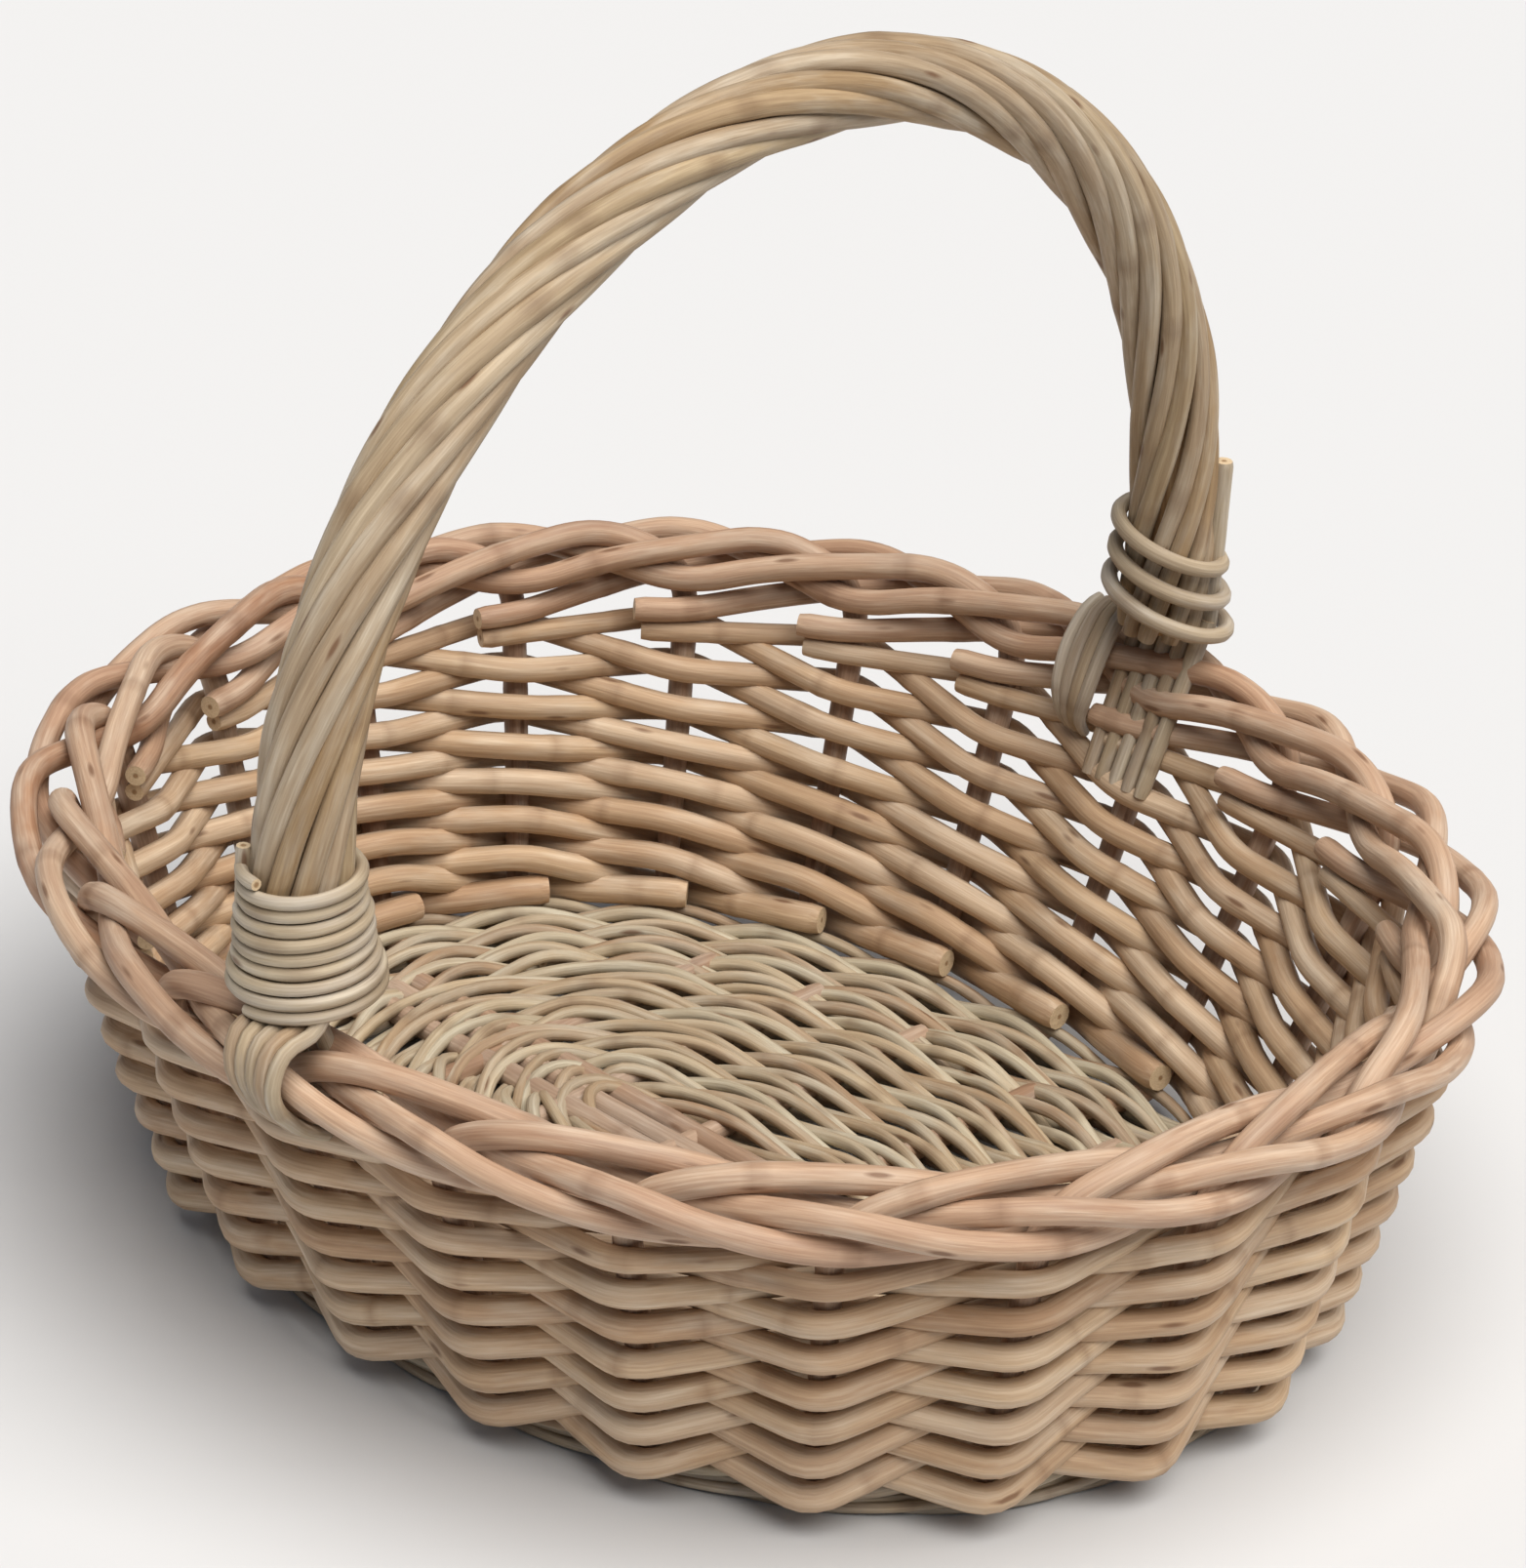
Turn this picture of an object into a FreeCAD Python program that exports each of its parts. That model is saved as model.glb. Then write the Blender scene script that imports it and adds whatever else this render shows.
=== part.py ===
import FreeCAD, Part
import math
import os

# Oval willow market basket with a fixed roped handle.
# Millimetres, +Z up. X is the long way of the oval, the handle stands across it in the YZ plane.
# The origin is on the floor, under the middle of the rim.

# --- driving dimensions -------------------------------------------------------------------------

stake_count = 22            # upright rods round the wall, and as many weavers
rim_half_length = 190.0     # stake line at the border
rim_half_width = 168.0
base_half_length = 166.0    # stake line at the floor corner
base_half_width = 128.0
oval_power = 2.2            # 2 is an ellipse, more is squarer

stake_d = 7.6
weaver_d = 4.8
rod_gap = 0.3               # clearance between rods that lie on each other

border_height = 110.0       # centre height of the rolled border
first_stroke_height = 12.0  # lowest stroke in front of a stake
first_butt_height = 19.0    # weaver butts, behind the stakes just above the base
outer_stroke_room = 2.3     # between the border and the last stroke in front of the stakes
weaver_play = 0.1           # least room between the heights of one weaver and the next

stake_tail = 34.0           # length of stake pushed into the base
upsett_run = 20.0           # length that the bend from base to wall may use
base_edge_inset = 11.0      # base weave's edge, inside the stake line
base_thickness = 13.8
cross_stick_d = 10.0
long_stick_d = 6.4
long_stick_pitch = 8.0
long_stick_count = 3
cross_stick_stations = (0.5, 1.35, 2.15)    # counted in stakes from the handle
stick_gap = 0.2
stick_end_gap = 1.0         # end of a stick to the edge of the base

foot_d = 6.0
foot_inset = 6.0
foot_flat = 0.6             # depth worn flat where the basket stands
foot_gap = 0.8              # between the foot and the stakes that turn up over it

handle_inset = 6.0          # middle of the handle's foot, inside the stake line
handle_leg = 36.0           # straight leg below the round of the bow
bow_d = 14.0
roping_d = 6.0              # one strand of the handle roping
near_collar_rod = 3.6
near_collar_turns = 8
far_collar_rod = 5.4
far_collar_turns = 4
tie_rod_d = 4.4
tie_rod_count = 4
tie_pitch = 5.0
tie_tail = 14.0             # length of an inner tie down the wall below the border
tie_gap = 1.0               # outer ties to the rods that they are tucked beside
inner_tie_gap = 2.5         # inner ties to the weave
tie_head = 4.0              # length of a tie on top of the border, each side of the stake line

# centre height of the base sticks and of the stakes' tails
base_level = foot_d - foot_flat + stake_d / 2 + foot_gap

# --- the oval ------------------------------------------------------------------------------------

def vec(x, y, z):
    return FreeCAD.Vector(x, y, z)


def oval_point(half_length, half_width, angle):
    c = math.cos(angle)
    s = math.sin(angle)
    power = 2.0 / oval_power
    return (half_length * math.copysign(abs(c) ** power, c),
            half_width * math.copysign(abs(s) ** power, s))


class Oval:
    """A closed oval with places counted in stakes along its length, from the handle's -Y foot."""

    steps = 1440

    def __init__(self, half_length, half_width):
        turn = 2.0 * math.pi / self.steps
        self.points = [oval_point(half_length, half_width, i * turn - math.pi / 2)
                       for i in range(self.steps + 1)]
        self.lengths = [0.0]
        for a, b in zip(self.points, self.points[1:]):
            self.lengths.append(self.lengths[-1] + math.dist(a, b))

    def at(self, station):
        target = (station % stake_count) / stake_count * self.lengths[-1]
        low, high = 0, self.steps
        while high - low > 1:
            middle = (low + high) // 2
            if self.lengths[middle] <= target:
                low = middle
            else:
                high = middle
        share = (target - self.lengths[low]) / (self.lengths[high] - self.lengths[low])
        a, b = self.points[low], self.points[high]
        return a[0] + (b[0] - a[0]) * share, a[1] + (b[1] - a[1]) * share


beside = 0.25               # how far each way, in stakes, the wall's direction is measured
rim = Oval(rim_half_length, rim_half_width)
foot_line = Oval(base_half_length, base_half_width)


def wall_place(station, z):
    """Plan place of the stake line at a height, the wall flaring evenly from base to border."""
    share = (z - base_level) / (border_height - base_level)
    low = foot_line.at(station)
    high = rim.at(station)
    return low[0] + (high[0] - low[0]) * share, low[1] + (high[1] - low[1]) * share


def wall_point(station, outward, z):
    """A point beside the stake line, moved outward in plan."""
    before = wall_place(station - beside, z)
    after = wall_place(station + beside, z)
    along = math.dist(before, after)
    normal = ((after[1] - before[1]) / along, (before[0] - after[0]) / along)
    x, y = wall_place(station, z)
    return vec(x + normal[0] * outward, y + normal[1] * outward, z)


def wall_normal(station):
    return wall_point(station, 1.0, base_level) - wall_point(station, 0.0, base_level)


def wall_lean(station):
    flare = math.dist(rim.at(station), foot_line.at(station))
    return math.atan2(flare, border_height - base_level)


# --- rods ----------------------------------------------------------------------------------------

ring_share = 0.49           # how much of a run the arcs use on a closed ring
border_share = 0.45
stroke_share = 0.3
tie_share = 0.4


def bent_wire(corners, share, closed=False):
    """Straight runs joined by tangent arcs. share is how much of the shorter run an arc may use."""
    count = len(corners)
    places = range(count) if closed else range(1, count - 1)
    arcs = {}
    for i in places:
        corner = corners[i]
        before = corners[i - 1] - corner
        after = corners[(i + 1) % count] - corner
        tangent = share * min(before.Length, after.Length)
        turn = math.pi - before.getAngle(after)
        if turn < 1e-3:
            arcs[i] = (corner, corner, corner)
            continue
        inward = before.normalize() + after.normalize()
        start = corner + before * tangent
        end = corner + after * tangent
        middle = corner + inward.normalize() * (tangent * math.tan(turn / 4))
        arcs[i] = (start, middle, end)
    edges = []
    ends = range(count) if closed else range(count - 1)
    for i in ends:
        following = (i + 1) % count
        run_start = arcs[i][2] if i in arcs else corners[i]
        run_end = arcs[following][0] if following in arcs else corners[following]
        edges.append(Part.LineSegment(run_start, run_end).toShape())
        if following in arcs and (arcs[following][2] - arcs[following][0]).Length > 1e-6:
            edges.append(Part.Arc(*arcs[following]).toShape())
    return Part.Wire(edges)


def rod(wire, diameter):
    first = wire.Edges[0]
    start = first.valueAt(first.FirstParameter)
    heading = first.tangentAt(first.FirstParameter)
    disc = Part.Face(Part.Wire(Part.makeCircle(diameter / 2, start, heading)))
    return wire.makePipe(disc)


def straight_rod(start, end, diameter):
    return Part.makeCylinder(diameter / 2, (end - start).Length, start, end - start)


# --- base ----------------------------------------------------------------------------------------

block_width = long_stick_pitch * (long_stick_count - 1) + long_stick_d + 2 * stick_gap


def long_sticks(extra=0.0):
    """Three sticks side by side along the oval, threaded through the split cross sticks."""
    reach = base_half_length - base_edge_inset - stick_end_gap
    end_tail = wall_point(stake_count // 4, -stake_tail, base_level)
    if abs(end_tail.y) < (block_width + stake_d) / 2:
        reach -= stake_tail
    rods = []
    for i in range(long_stick_count):
        y = (i - (long_stick_count - 1) / 2) * long_stick_pitch
        rods.append(straight_rod(vec(-reach, y, base_level), vec(reach, y, base_level),
                                 long_stick_d + extra))
    return rods


def cross_stick_places():
    """Cross sticks lie between the stakes' tails, in pairs about the middle."""
    right = [foot_line.at(station)[0] for station in cross_stick_stations]
    return [-x for x in reversed(right)] + right


def cross_sticks(extra=0.0, split=True):
    rods = []
    places = cross_stick_places()
    for x in places:
        reach = base_half_width * (1 - abs(x / base_half_length) ** oval_power) ** (1 / oval_power)
        reach -= base_edge_inset + stick_end_gap
        if x in (places[0], places[-1]):
            reach -= stake_tail
        stick = straight_rod(vec(x, -reach, base_level), vec(x, reach, base_level),
                             cross_stick_d + extra)
        if split:
            slit = Part.makeBox(2 * cross_stick_d, block_width, long_stick_d + 2 * stick_gap,
                                vec(x - cross_stick_d, -block_width / 2,
                                    base_level - long_stick_d / 2 - stick_gap))
            stick = stick.cut(slit)
        rods.append(stick)
    return rods


def stake_tails(extra):
    return [straight_rod(wall_point(k, -stake_tail, base_level), wall_point(k, 0, base_level),
                         stake_d + extra) for k in range(stake_count)]


def base_weave():
    """The woven base as one oval plate, bored where sticks and stakes run through it."""
    bottom = base_level - base_thickness / 2
    outline = []
    for k in range(stake_count):
        point = wall_point(k, -base_edge_inset, base_level)
        outline.append(vec(point.x, point.y, bottom))
    plate = Part.Face(bent_wire(outline, ring_share, closed=True)).extrude(vec(0, 0, base_thickness))
    borings = long_sticks(2 * stick_gap) + cross_sticks(2 * stick_gap, split=False)
    return plate.cut(borings + stake_tails(2 * stick_gap))


def foot_wale():
    """Rod wale round the bottom corner: the ring that the basket stands on."""
    centre = foot_d / 2 - foot_flat
    ring = rod(bent_wire([wall_point(k + 0.5, 0, base_level)
                          - wall_normal(k + 0.5) * foot_inset + vec(0, 0, centre - base_level)
                          for k in range(stake_count)], ring_share, closed=True), foot_d)
    reach = 2 * rim_half_length
    below_floor = Part.makeBox(2 * reach, 2 * reach, foot_d, vec(-reach, -reach, -foot_d))
    return ring.cut(below_floor)


# --- side stakes and the rolled border -----------------------------------------------------------

# The way of a stake after it reaches the border: behind two stakes, in front of two, and back
# inside under the border. Bays travelled, then outward offset and height in rod diameters.
border_way = [
    (0.0, 0.0, 1.05),
    (0.5, -0.33, 1.11),
    (1.0, -1.22, 0.79),
    (1.5, -1.46, 0.34),
    (2.0, -1.13, -0.67),
    (2.5, -0.03, -0.04),
    (3.0, 1.07, 0.66),
    (3.5, 1.43, -0.25),
    (4.0, 1.29, -0.83),
    (4.5, 0.04, -1.29),
    (5.0, -1.18, -1.58),
    (5.3, -1.32, -1.58),
]
border_top = border_height + (max(row[2] for row in border_way) + 0.5) * stake_d
border_drop = (0.5 - min(row[2] for row in border_way)) * stake_d
border_reach = (max(abs(row[1]) for row in border_way) + 0.5) * stake_d


def side_stake(k):
    """One rod: tail in the base, upright in the wall, then laid down into the border."""
    corners = [wall_point(k, -stake_tail, base_level), wall_point(k, -upsett_run, base_level),
               wall_point(k, 0, base_level)]
    for bays, outward, height in border_way:
        corners.append(wall_point(k + bays, outward * stake_d, border_height + height * stake_d))
    return rod(bent_wire(corners, border_share), stake_d)


# --- wall weave ----------------------------------------------------------------------------------

tail_bays = 0.3             # butt and tip lie this far past their stakes
front_below_border = border_drop + weaver_d / 2 + outer_stroke_room
back_below_border = border_drop + weaver_d / 2 + rod_gap
back_span = border_height - back_below_border - first_butt_height
stroke_pairs = int(back_span / (2 * (weaver_d + weaver_play)))
back_rise = back_span / stroke_pairs
front_rise = (border_height - front_below_border - first_stroke_height) / (stroke_pairs - 1)


def stroke_height(step):
    if step % 2:
        return first_stroke_height + front_rise * (step - 1) / 2
    return first_butt_height + back_rise * step / 2


def weaver_corners(k, outward):
    corners = []
    for step in range(2 * stroke_pairs + 1):
        side = 1 if step % 2 else -1
        corners.append(wall_point(k + step, side * outward[step], stroke_height(step)))
    last = len(corners) - 1
    corners.insert(0, wall_point(k - tail_bays, -outward[0], stroke_height(0)))
    corners.append(wall_point(k + last + tail_bays, -outward[last], stroke_height(last)))
    return corners


def weaver(k):
    """French randing: in front of one stake, behind the next, rising all the way round."""
    touch = [((stake_d + weaver_d) / 2 + rod_gap) / math.cos(wall_lean(k + step))
             for step in range(2 * stroke_pairs + 1)]
    outward = list(touch)
    for again in range(3):
        corners = weaver_corners(k, outward)
        for step in range(len(outward)):
            before = corners[step] - corners[step + 1]
            after = corners[step + 2] - corners[step + 1]
            turn = math.pi - before.getAngle(after)
            tangent = stroke_share * min(before.Length, after.Length)
            outward[step] = touch[step] + tangent * math.tan(turn / 4)
    return rod(bent_wire(weaver_corners(k, outward), stroke_share), weaver_d)


# --- handle --------------------------------------------------------------------------------------

handle_half_span = rim_half_width - handle_inset
handle_foot_height = border_top + tie_rod_d + 2 * rod_gap
handle_d = bow_d + 2 * roping_d


def handle_wire():
    spring = handle_foot_height + handle_leg
    top = spring + handle_half_span
    near_spring = vec(0, -handle_half_span, spring)
    far_spring = vec(0, handle_half_span, spring)
    near_leg = Part.LineSegment(vec(0, -handle_half_span, handle_foot_height), near_spring)
    arch = Part.Arc(near_spring, vec(0, 0, top), far_spring)
    far_leg = Part.LineSegment(far_spring, vec(0, handle_half_span, handle_foot_height))
    return Part.Wire([near_leg.toShape(), arch.toShape(), far_leg.toShape()])


def handle_bow():
    return rod(handle_wire(), bow_d)


def handle_roping():
    """The strands roped round the bow, as one sleeve of their outer size."""
    return rod(handle_wire(), handle_d).cut(rod(handle_wire(), bow_d + 2 * rod_gap))


def collar(side, rod_d, turns):
    """Turns of thin rod bound round the foot of the handle."""
    rings = []
    for turn in range(turns):
        z = handle_foot_height + (rod_d + rod_gap) * turn + rod_d / 2
        rings.append(Part.makeTorus(handle_d / 2 + rod_gap + rod_d / 2, rod_d / 2,
                                    vec(0, side * handle_half_span, z)))
    return Part.Compound(rings)


def foot_ties(station):
    """Rods that bind the foot down: over the border outside, and down the wall inside."""
    around = border_reach + tie_rod_d / 2 + rod_gap
    top = border_top + tie_rod_d / 2 + rod_gap
    tuck_height = border_height - front_below_border + (weaver_d + tie_rod_d) / 2 + tie_gap
    against_stake = (stake_d + tie_rod_d) / 2 + tie_gap
    against_weave = stake_d / 2 + weaver_d + tie_rod_d / 2 + inner_tie_gap
    border_foot = border_height - border_drop
    bend_below = 2 * tie_rod_d
    spacing = tie_pitch / math.dist(rim.at(station), rim.at(station + 1))
    rods = []
    for i in range(tie_rod_count):
        place = station + (i - (tie_rod_count - 1) / 2) * spacing
        outer = [wall_point(place, tie_head, top),
                 wall_point(place, around, top),
                 wall_point(place, around, border_foot),
                 wall_point(place, against_stake, tuck_height)]
        inner = [wall_point(place, -tie_head, top),
                 wall_point(place, -around, top),
                 wall_point(place, -around, border_foot),
                 wall_point(place, -against_weave, border_foot - bend_below),
                 wall_point(place, -against_weave, border_foot - bend_below - tie_tail)]
        rods += [rod(bent_wire(outer, tie_share), tie_rod_d), rod(bent_wire(inner, tie_share), tie_rod_d)]
    return Part.Compound(rods)


# --- write every piece ---------------------------------------------------------------------------

pieces = {
    "base_long_sticks": Part.Compound(long_sticks()),
    "base_cross_sticks": Part.Compound(cross_sticks()),
    "base_weave": base_weave(),
    "foot_wale": foot_wale(),
    "handle_bow": handle_bow(),
    "handle_roping": handle_roping(),
    "near_foot_collar": collar(-1, near_collar_rod, near_collar_turns),
    "far_foot_collar": collar(1, far_collar_rod, far_collar_turns),
    "near_foot_ties": foot_ties(0),
    "far_foot_ties": foot_ties(stake_count / 2),
}
for k in range(stake_count):
    pieces["side_stake_%02d" % (k + 1)] = side_stake(k)
    pieces["weaver_%02d" % (k + 1)] = weaver(k)

os.makedirs("parts", exist_ok=True)
for name, shape in pieces.items():
    if not shape.isValid() or any(solid.Volume <= 0 for solid in shape.Solids):
        raise ValueError("bad solid: " + name)
    shape.exportStep("parts/" + name + ".step")
    print(name, len(shape.Solids), "solids", round(shape.Volume), "mm3")
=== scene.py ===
import math
import random

import bpy
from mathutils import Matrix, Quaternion, Vector


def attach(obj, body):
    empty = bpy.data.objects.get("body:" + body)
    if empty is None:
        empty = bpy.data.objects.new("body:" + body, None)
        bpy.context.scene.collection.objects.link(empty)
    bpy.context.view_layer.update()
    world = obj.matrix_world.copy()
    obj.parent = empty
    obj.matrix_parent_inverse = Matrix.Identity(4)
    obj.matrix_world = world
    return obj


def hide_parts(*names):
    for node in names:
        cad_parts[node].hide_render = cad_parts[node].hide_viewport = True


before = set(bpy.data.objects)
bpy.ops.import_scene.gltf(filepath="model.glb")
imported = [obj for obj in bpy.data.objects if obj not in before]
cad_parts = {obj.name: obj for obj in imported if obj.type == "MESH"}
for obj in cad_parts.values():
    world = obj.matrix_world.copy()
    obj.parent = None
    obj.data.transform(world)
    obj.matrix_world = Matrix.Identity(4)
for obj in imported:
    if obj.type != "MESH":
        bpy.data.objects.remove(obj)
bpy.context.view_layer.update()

# --- Base sticks ---------------------------------------------------------------------------------
# Six thick willow sticks lie across the oval and three thinner ones run the long way through slits
# in their middles. They are cut lengths of peeled willow, held only by the weave round them.

mm = 0.001
stake_count = 22
base_half_length = 166.0 * mm
base_half_width = 128.0 * mm
base_level = 10.0 * mm      # middle of the woven base above the ground
oval_power = 2.2            # 2 is an ellipse, and more is squarer
tail_length = 34.0 * mm     # of the stakes' ends in the base
cross_stick_d = 6.4 * mm
long_stick_d = 7.2 * mm
long_stick_pitch = 8.0 * mm
cross_stick_stations = (0.5, 1.35, 2.15)        # in stakes from the handle's near foot
stick_end_inset = 12.0 * mm + tail_length / 2   # the sticks end among the stakes' tails
stick_steps = 8


def oval_point(half_length, half_width, angle):
    c = math.cos(angle)
    s = math.sin(angle)
    return (half_length * math.copysign(abs(c) ** (2 / oval_power), c),
            half_width * math.copysign(abs(s) ** (2 / oval_power), s))


class Oval:
    """An oval with places counted in stakes along its length, from the handle's near foot."""

    steps = 720

    def __init__(self, half_length, half_width):
        angles = [i * 2 * math.pi / self.steps - math.pi / 2 for i in range(self.steps + 1)]
        self.points = [oval_point(half_length, half_width, angle) for angle in angles]
        self.lengths = [0.0]
        for a, b in zip(self.points, self.points[1:]):
            self.lengths.append(self.lengths[-1] + math.dist(a, b))

    def at(self, station):
        target = (station % stake_count) / stake_count * self.lengths[-1]
        low, high = 0, self.steps
        while high - low > 1:
            middle = (low + high) // 2
            if self.lengths[middle] <= target:
                low = middle
            else:
                high = middle
        share = (target - self.lengths[low]) / (self.lengths[high] - self.lengths[low])
        a, b = self.points[low], self.points[high]
        return a[0] + (b[0] - a[0]) * share, a[1] + (b[1] - a[1]) * share


foot_line = Oval(base_half_length, base_half_width)


def add(tree, kind, settings=None, inputs=None):
    """Adds a node with its settings. Each input, by name or place, is a value or a socket to link."""
    made = tree.nodes.new(kind)
    for name, value in (settings or {}).items():
        setattr(made, name, value)
    for place, value in (inputs or {}).items():
        if isinstance(value, bpy.types.NodeSocket):
            tree.links.new(value, made.inputs[place])
        else:
            made.inputs[place].default_value = value
    return made


def willow_rod_tree():
    """Sweeps round rods along the curves, a little knobbly, with leaf joints and flat cut ends."""
    tree = bpy.data.node_groups.new("willow_rod", "GeometryNodeTree")
    for name, kind in (("Rods", "Geometry"), ("Sides", "Int"), ("Step", "Float"),
                       ("Knobbliness", "Float"), ("Joint spacing", "Float"), ("Finish", "Material")):
        tree.interface.new_socket(name, in_out="INPUT", socket_type="NodeSocket" + kind)
    tree.interface.new_socket("Mesh", in_out="OUTPUT", socket_type="NodeSocketGeometry")
    given = add(tree, "NodeGroupInput").outputs

    rods = add(tree, "GeometryNodeResampleCurve", {"mode": "LENGTH"},
               {"Curve": given["Rods"], "Length": given["Step"]})
    length = add(tree, "GeometryNodeSplineParameter").outputs["Length"]
    radius = add(tree, "GeometryNodeInputRadius").outputs[0]
    tilt = add(tree, "GeometryNodeInputCurveTilt").outputs[0]
    tone = add(tree, "ShaderNodeMath", {"operation": "DIVIDE"}, {0: tilt, 1: 2 * math.pi}).outputs[0]

    # how far along the rod, from a start of its own, so that no two rods are alike
    own_start = add(tree, "ShaderNodeMath", {"operation": "MULTIPLY"}, {0: tone, 1: 10.0}).outputs[0]
    along = add(tree, "ShaderNodeMath", {"operation": "ADD"}, {0: length, 1: own_start}).outputs[0]
    wander = add(tree, "ShaderNodeTexNoise", {"noise_dimensions": "1D"},
                 {"W": along, "Scale": 1 / (28 * mm), "Detail": 1.0}).outputs[0]
    joints = add(tree, "ShaderNodeMath", {"operation": "DIVIDE"},
                 {0: along, 1: given["Joint spacing"]}).outputs[0]
    nearest = add(tree, "ShaderNodeTexVoronoi", {"voronoi_dimensions": "1D"},
                  {"W": joints, "Scale": 1.0, "Randomness": 0.8}).outputs["Distance"]
    joint = add(tree, "ShaderNodeMapRange", {"interpolation_type": "SMOOTHSTEP"},
                {"Value": nearest, "From Min": 0.07, "From Max": 0.0, "To Max": 1.0}).outputs[0]
    swell = add(tree, "ShaderNodeMapRange", {}, {"Value": wander, "From Min": 0.25, "From Max": 0.75,
                                                 "To Min": -1.0, "To Max": 1.0}).outputs[0]
    swell = add(tree, "ShaderNodeMath", {"operation": "MULTIPLY_ADD"},
                {0: joint, 1: 1.6, 2: swell}).outputs[0]
    swell = add(tree, "ShaderNodeMath", {"operation": "MULTIPLY_ADD"},
                {0: swell, 1: given["Knobbliness"], 2: 1.0}).outputs[0]
    tips = add(tree, "GeometryNodeCurveEndpointSelection").outputs[0]
    worn = add(tree, "ShaderNodeMath", {"operation": "MULTIPLY_ADD"},
               {0: tips, 1: -0.12, 2: swell}).outputs[0]
    grown = add(tree, "ShaderNodeMath", {"operation": "MULTIPLY"}, {0: radius, 1: worn}).outputs[0]
    shaped = add(tree, "GeometryNodeSetCurveRadius", {},
                 {"Curve": rods.outputs[0], "Radius": grown}).outputs[0]

    kept = add(tree, "GeometryNodeCaptureAttribute", {}, {"Geometry": shaped})
    for name, value in (("along", along), ("tone", tone), ("joint", joint), ("radius", radius)):
        kept.capture_items.new("FLOAT", name)
        tree.links.new(value, kept.inputs[name])
    disc = add(tree, "GeometryNodeCurvePrimitiveCircle", {},
               {"Resolution": given["Sides"], "Radius": 1.0})
    rim_place = add(tree, "GeometryNodeCaptureAttribute", {}, {"Geometry": disc.outputs[0]})
    rim_place.capture_items.new("VECTOR", "place")
    tree.links.new(add(tree, "GeometryNodeInputPosition").outputs[0], rim_place.inputs["place"])
    mesh = add(tree, "GeometryNodeCurveToMesh", {},
               {"Curve": kept.outputs[0], "Profile Curve": rim_place.outputs[0],
                "Scale": kept.outputs["radius"], "Fill Caps": True})

    # a place inside the rod, for the grain: across it in x and y, along it in z
    across = add(tree, "ShaderNodeVectorMath", {"operation": "SCALE"},
                 {0: rim_place.outputs["place"], "Scale": kept.outputs["radius"]}).outputs[0]
    lift = add(tree, "ShaderNodeCombineXYZ", {}, {"Z": kept.outputs["along"]}).outputs[0]
    grain = add(tree, "ShaderNodeVectorMath", {"operation": "ADD"}, {0: across, 1: lift}).outputs[0]
    corners = add(tree, "GeometryNodeInputMeshFaceNeighbors").outputs["Vertex Count"]
    cut = add(tree, "FunctionNodeCompare", {"data_type": "INT", "operation": "GREATER_THAN"},
              {2: corners, 3: 4}).outputs[0]
    stored = mesh.outputs[0]
    for name, kind, domain, value in (("grain", "FLOAT_VECTOR", "POINT", grain),
                                      ("tone", "FLOAT", "POINT", kept.outputs["tone"]),
                                      ("joint", "FLOAT", "POINT", kept.outputs["joint"]),
                                      ("cut", "FLOAT", "FACE", cut)):
        stored = add(tree, "GeometryNodeStoreNamedAttribute", {"data_type": kind, "domain": domain},
                     {"Geometry": stored, "Name": name, "Value": value}).outputs[0]
    smooth = add(tree, "GeometryNodeSetShadeSmooth", {},
                 {"Geometry": stored, "Selection": cut, "Shade Smooth": False}).outputs[0]
    real = add(tree, "GeometryNodeRealizeInstances", {}, {"Geometry": smooth}).outputs[0]
    done = add(tree, "GeometryNodeSetMaterial", {},
               {"Geometry": real, "Material": given["Finish"]}).outputs[0]
    add(tree, "NodeGroupOutput", {}, {0: done})
    return tree


rod_tree = willow_rod_tree()
rod_input = {item.name: item.identifier for item in rod_tree.interface.items_tree
             if item.in_out == "INPUT"}


def linear(hex_colour):
    """An sRGB hex colour as the linear colour that a shader takes."""
    channels = [int(hex_colour[i:i + 2], 16) / 255 for i in (1, 3, 5)]
    return [c / 12.92 if c <= 0.04045 else ((c + 0.055) / 1.055) ** 2.4 for c in channels] + [1.0]


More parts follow.
